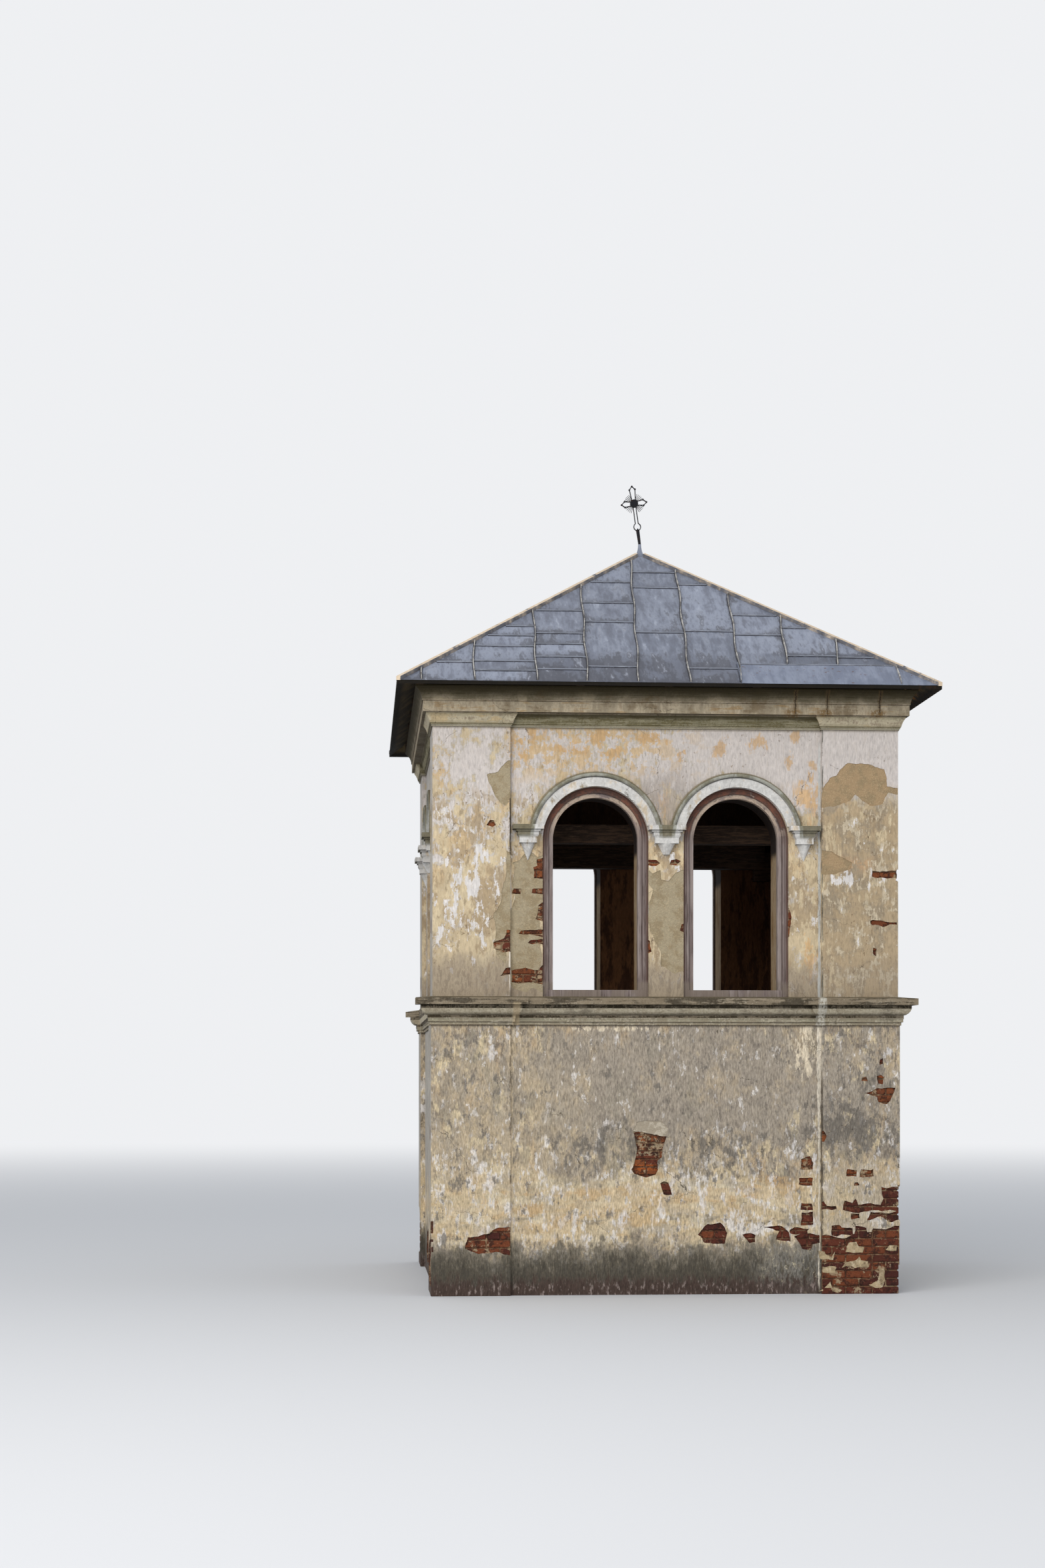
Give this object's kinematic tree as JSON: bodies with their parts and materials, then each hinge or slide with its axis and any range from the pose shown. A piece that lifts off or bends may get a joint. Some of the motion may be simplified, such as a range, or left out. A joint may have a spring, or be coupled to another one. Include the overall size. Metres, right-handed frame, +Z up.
{
  "type": "bell tower",
  "caption": "Square two-storey bell tower of limewashed brick with arched openings on every side, a moulded cornice, a seamed metal tent roof and a wrought-iron cross.",
  "frame": {"origin": "on the ground at the centre of the square plan", "axes": "+Z up, -Y out of the front, +X to the right of the front"},
  "size_m": [5.2, 5.2, 8.3183],
  "materials": {
    "lower_limewash": "weathered limewash on brick, rough",
    "upper_limewash": "pale limewash with ochre patches, rough",
    "moulded_plaster": "run plaster mouldings, limewashed, dirty",
    "weathered_frame_wood": "bare grey-brown weathered wood",
    "beam_wood": "old dark sawn timber",
    "roof_sheet_metal": "dull blue-grey galvanised sheet",
    "wrought_iron": "black wrought iron, dry rust"
  },
  "bodies": {
    "root": {"lower_front_wall": "lower_limewash", "lower_back_wall": "lower_limewash", "lower_left_wall": "lower_limewash", "lower_right_wall": "lower_limewash", "lower_corner_piers": "lower_limewash", "string_course_front": "moulded_plaster", "string_course_back": "moulded_plaster", "string_course_left": "moulded_plaster", "string_course_right": "moulded_plaster", "upper_front_wall": "upper_limewash", "upper_back_wall": "upper_limewash", "upper_left_wall": "upper_limewash", "upper_right_wall": "upper_limewash", "upper_corner_piers": "upper_limewash", "archivolts_front": "moulded_plaster", "archivolts_back": "moulded_plaster", "archivolts_left": "moulded_plaster", "archivolts_right": "moulded_plaster", "corbels": "moulded_plaster", "cornice_front": "moulded_plaster", "cornice_back": "moulded_plaster", "cornice_left": "moulded_plaster", "cornice_right": "moulded_plaster", "window_frames_front": "weathered_frame_wood", "window_frames_back": "weathered_frame_wood", "window_frames_left": "weathered_frame_wood", "window_frames_right": "weathered_frame_wood", "floor_joists": "beam_wood", "floor_boards": "beam_wood", "bell_beams": "beam_wood", "beam_pads": "beam_wood", "wall_plates": "beam_wood", "tie_beam": "beam_wood", "king_post": "beam_wood", "hip_rafters": "beam_wood", "common_rafters": "beam_wood", "roof_boarding": "beam_wood", "roof_sheet_front": "roof_sheet_metal", "roof_sheet_back": "roof_sheet_metal", "roof_sheet_left": "roof_sheet_metal", "roof_sheet_right": "roof_sheet_metal", "hip_caps": "roof_sheet_metal", "finial_flashing": "roof_sheet_metal", "iron_cross": "wrought_iron"}
  },
  "joints": []
}
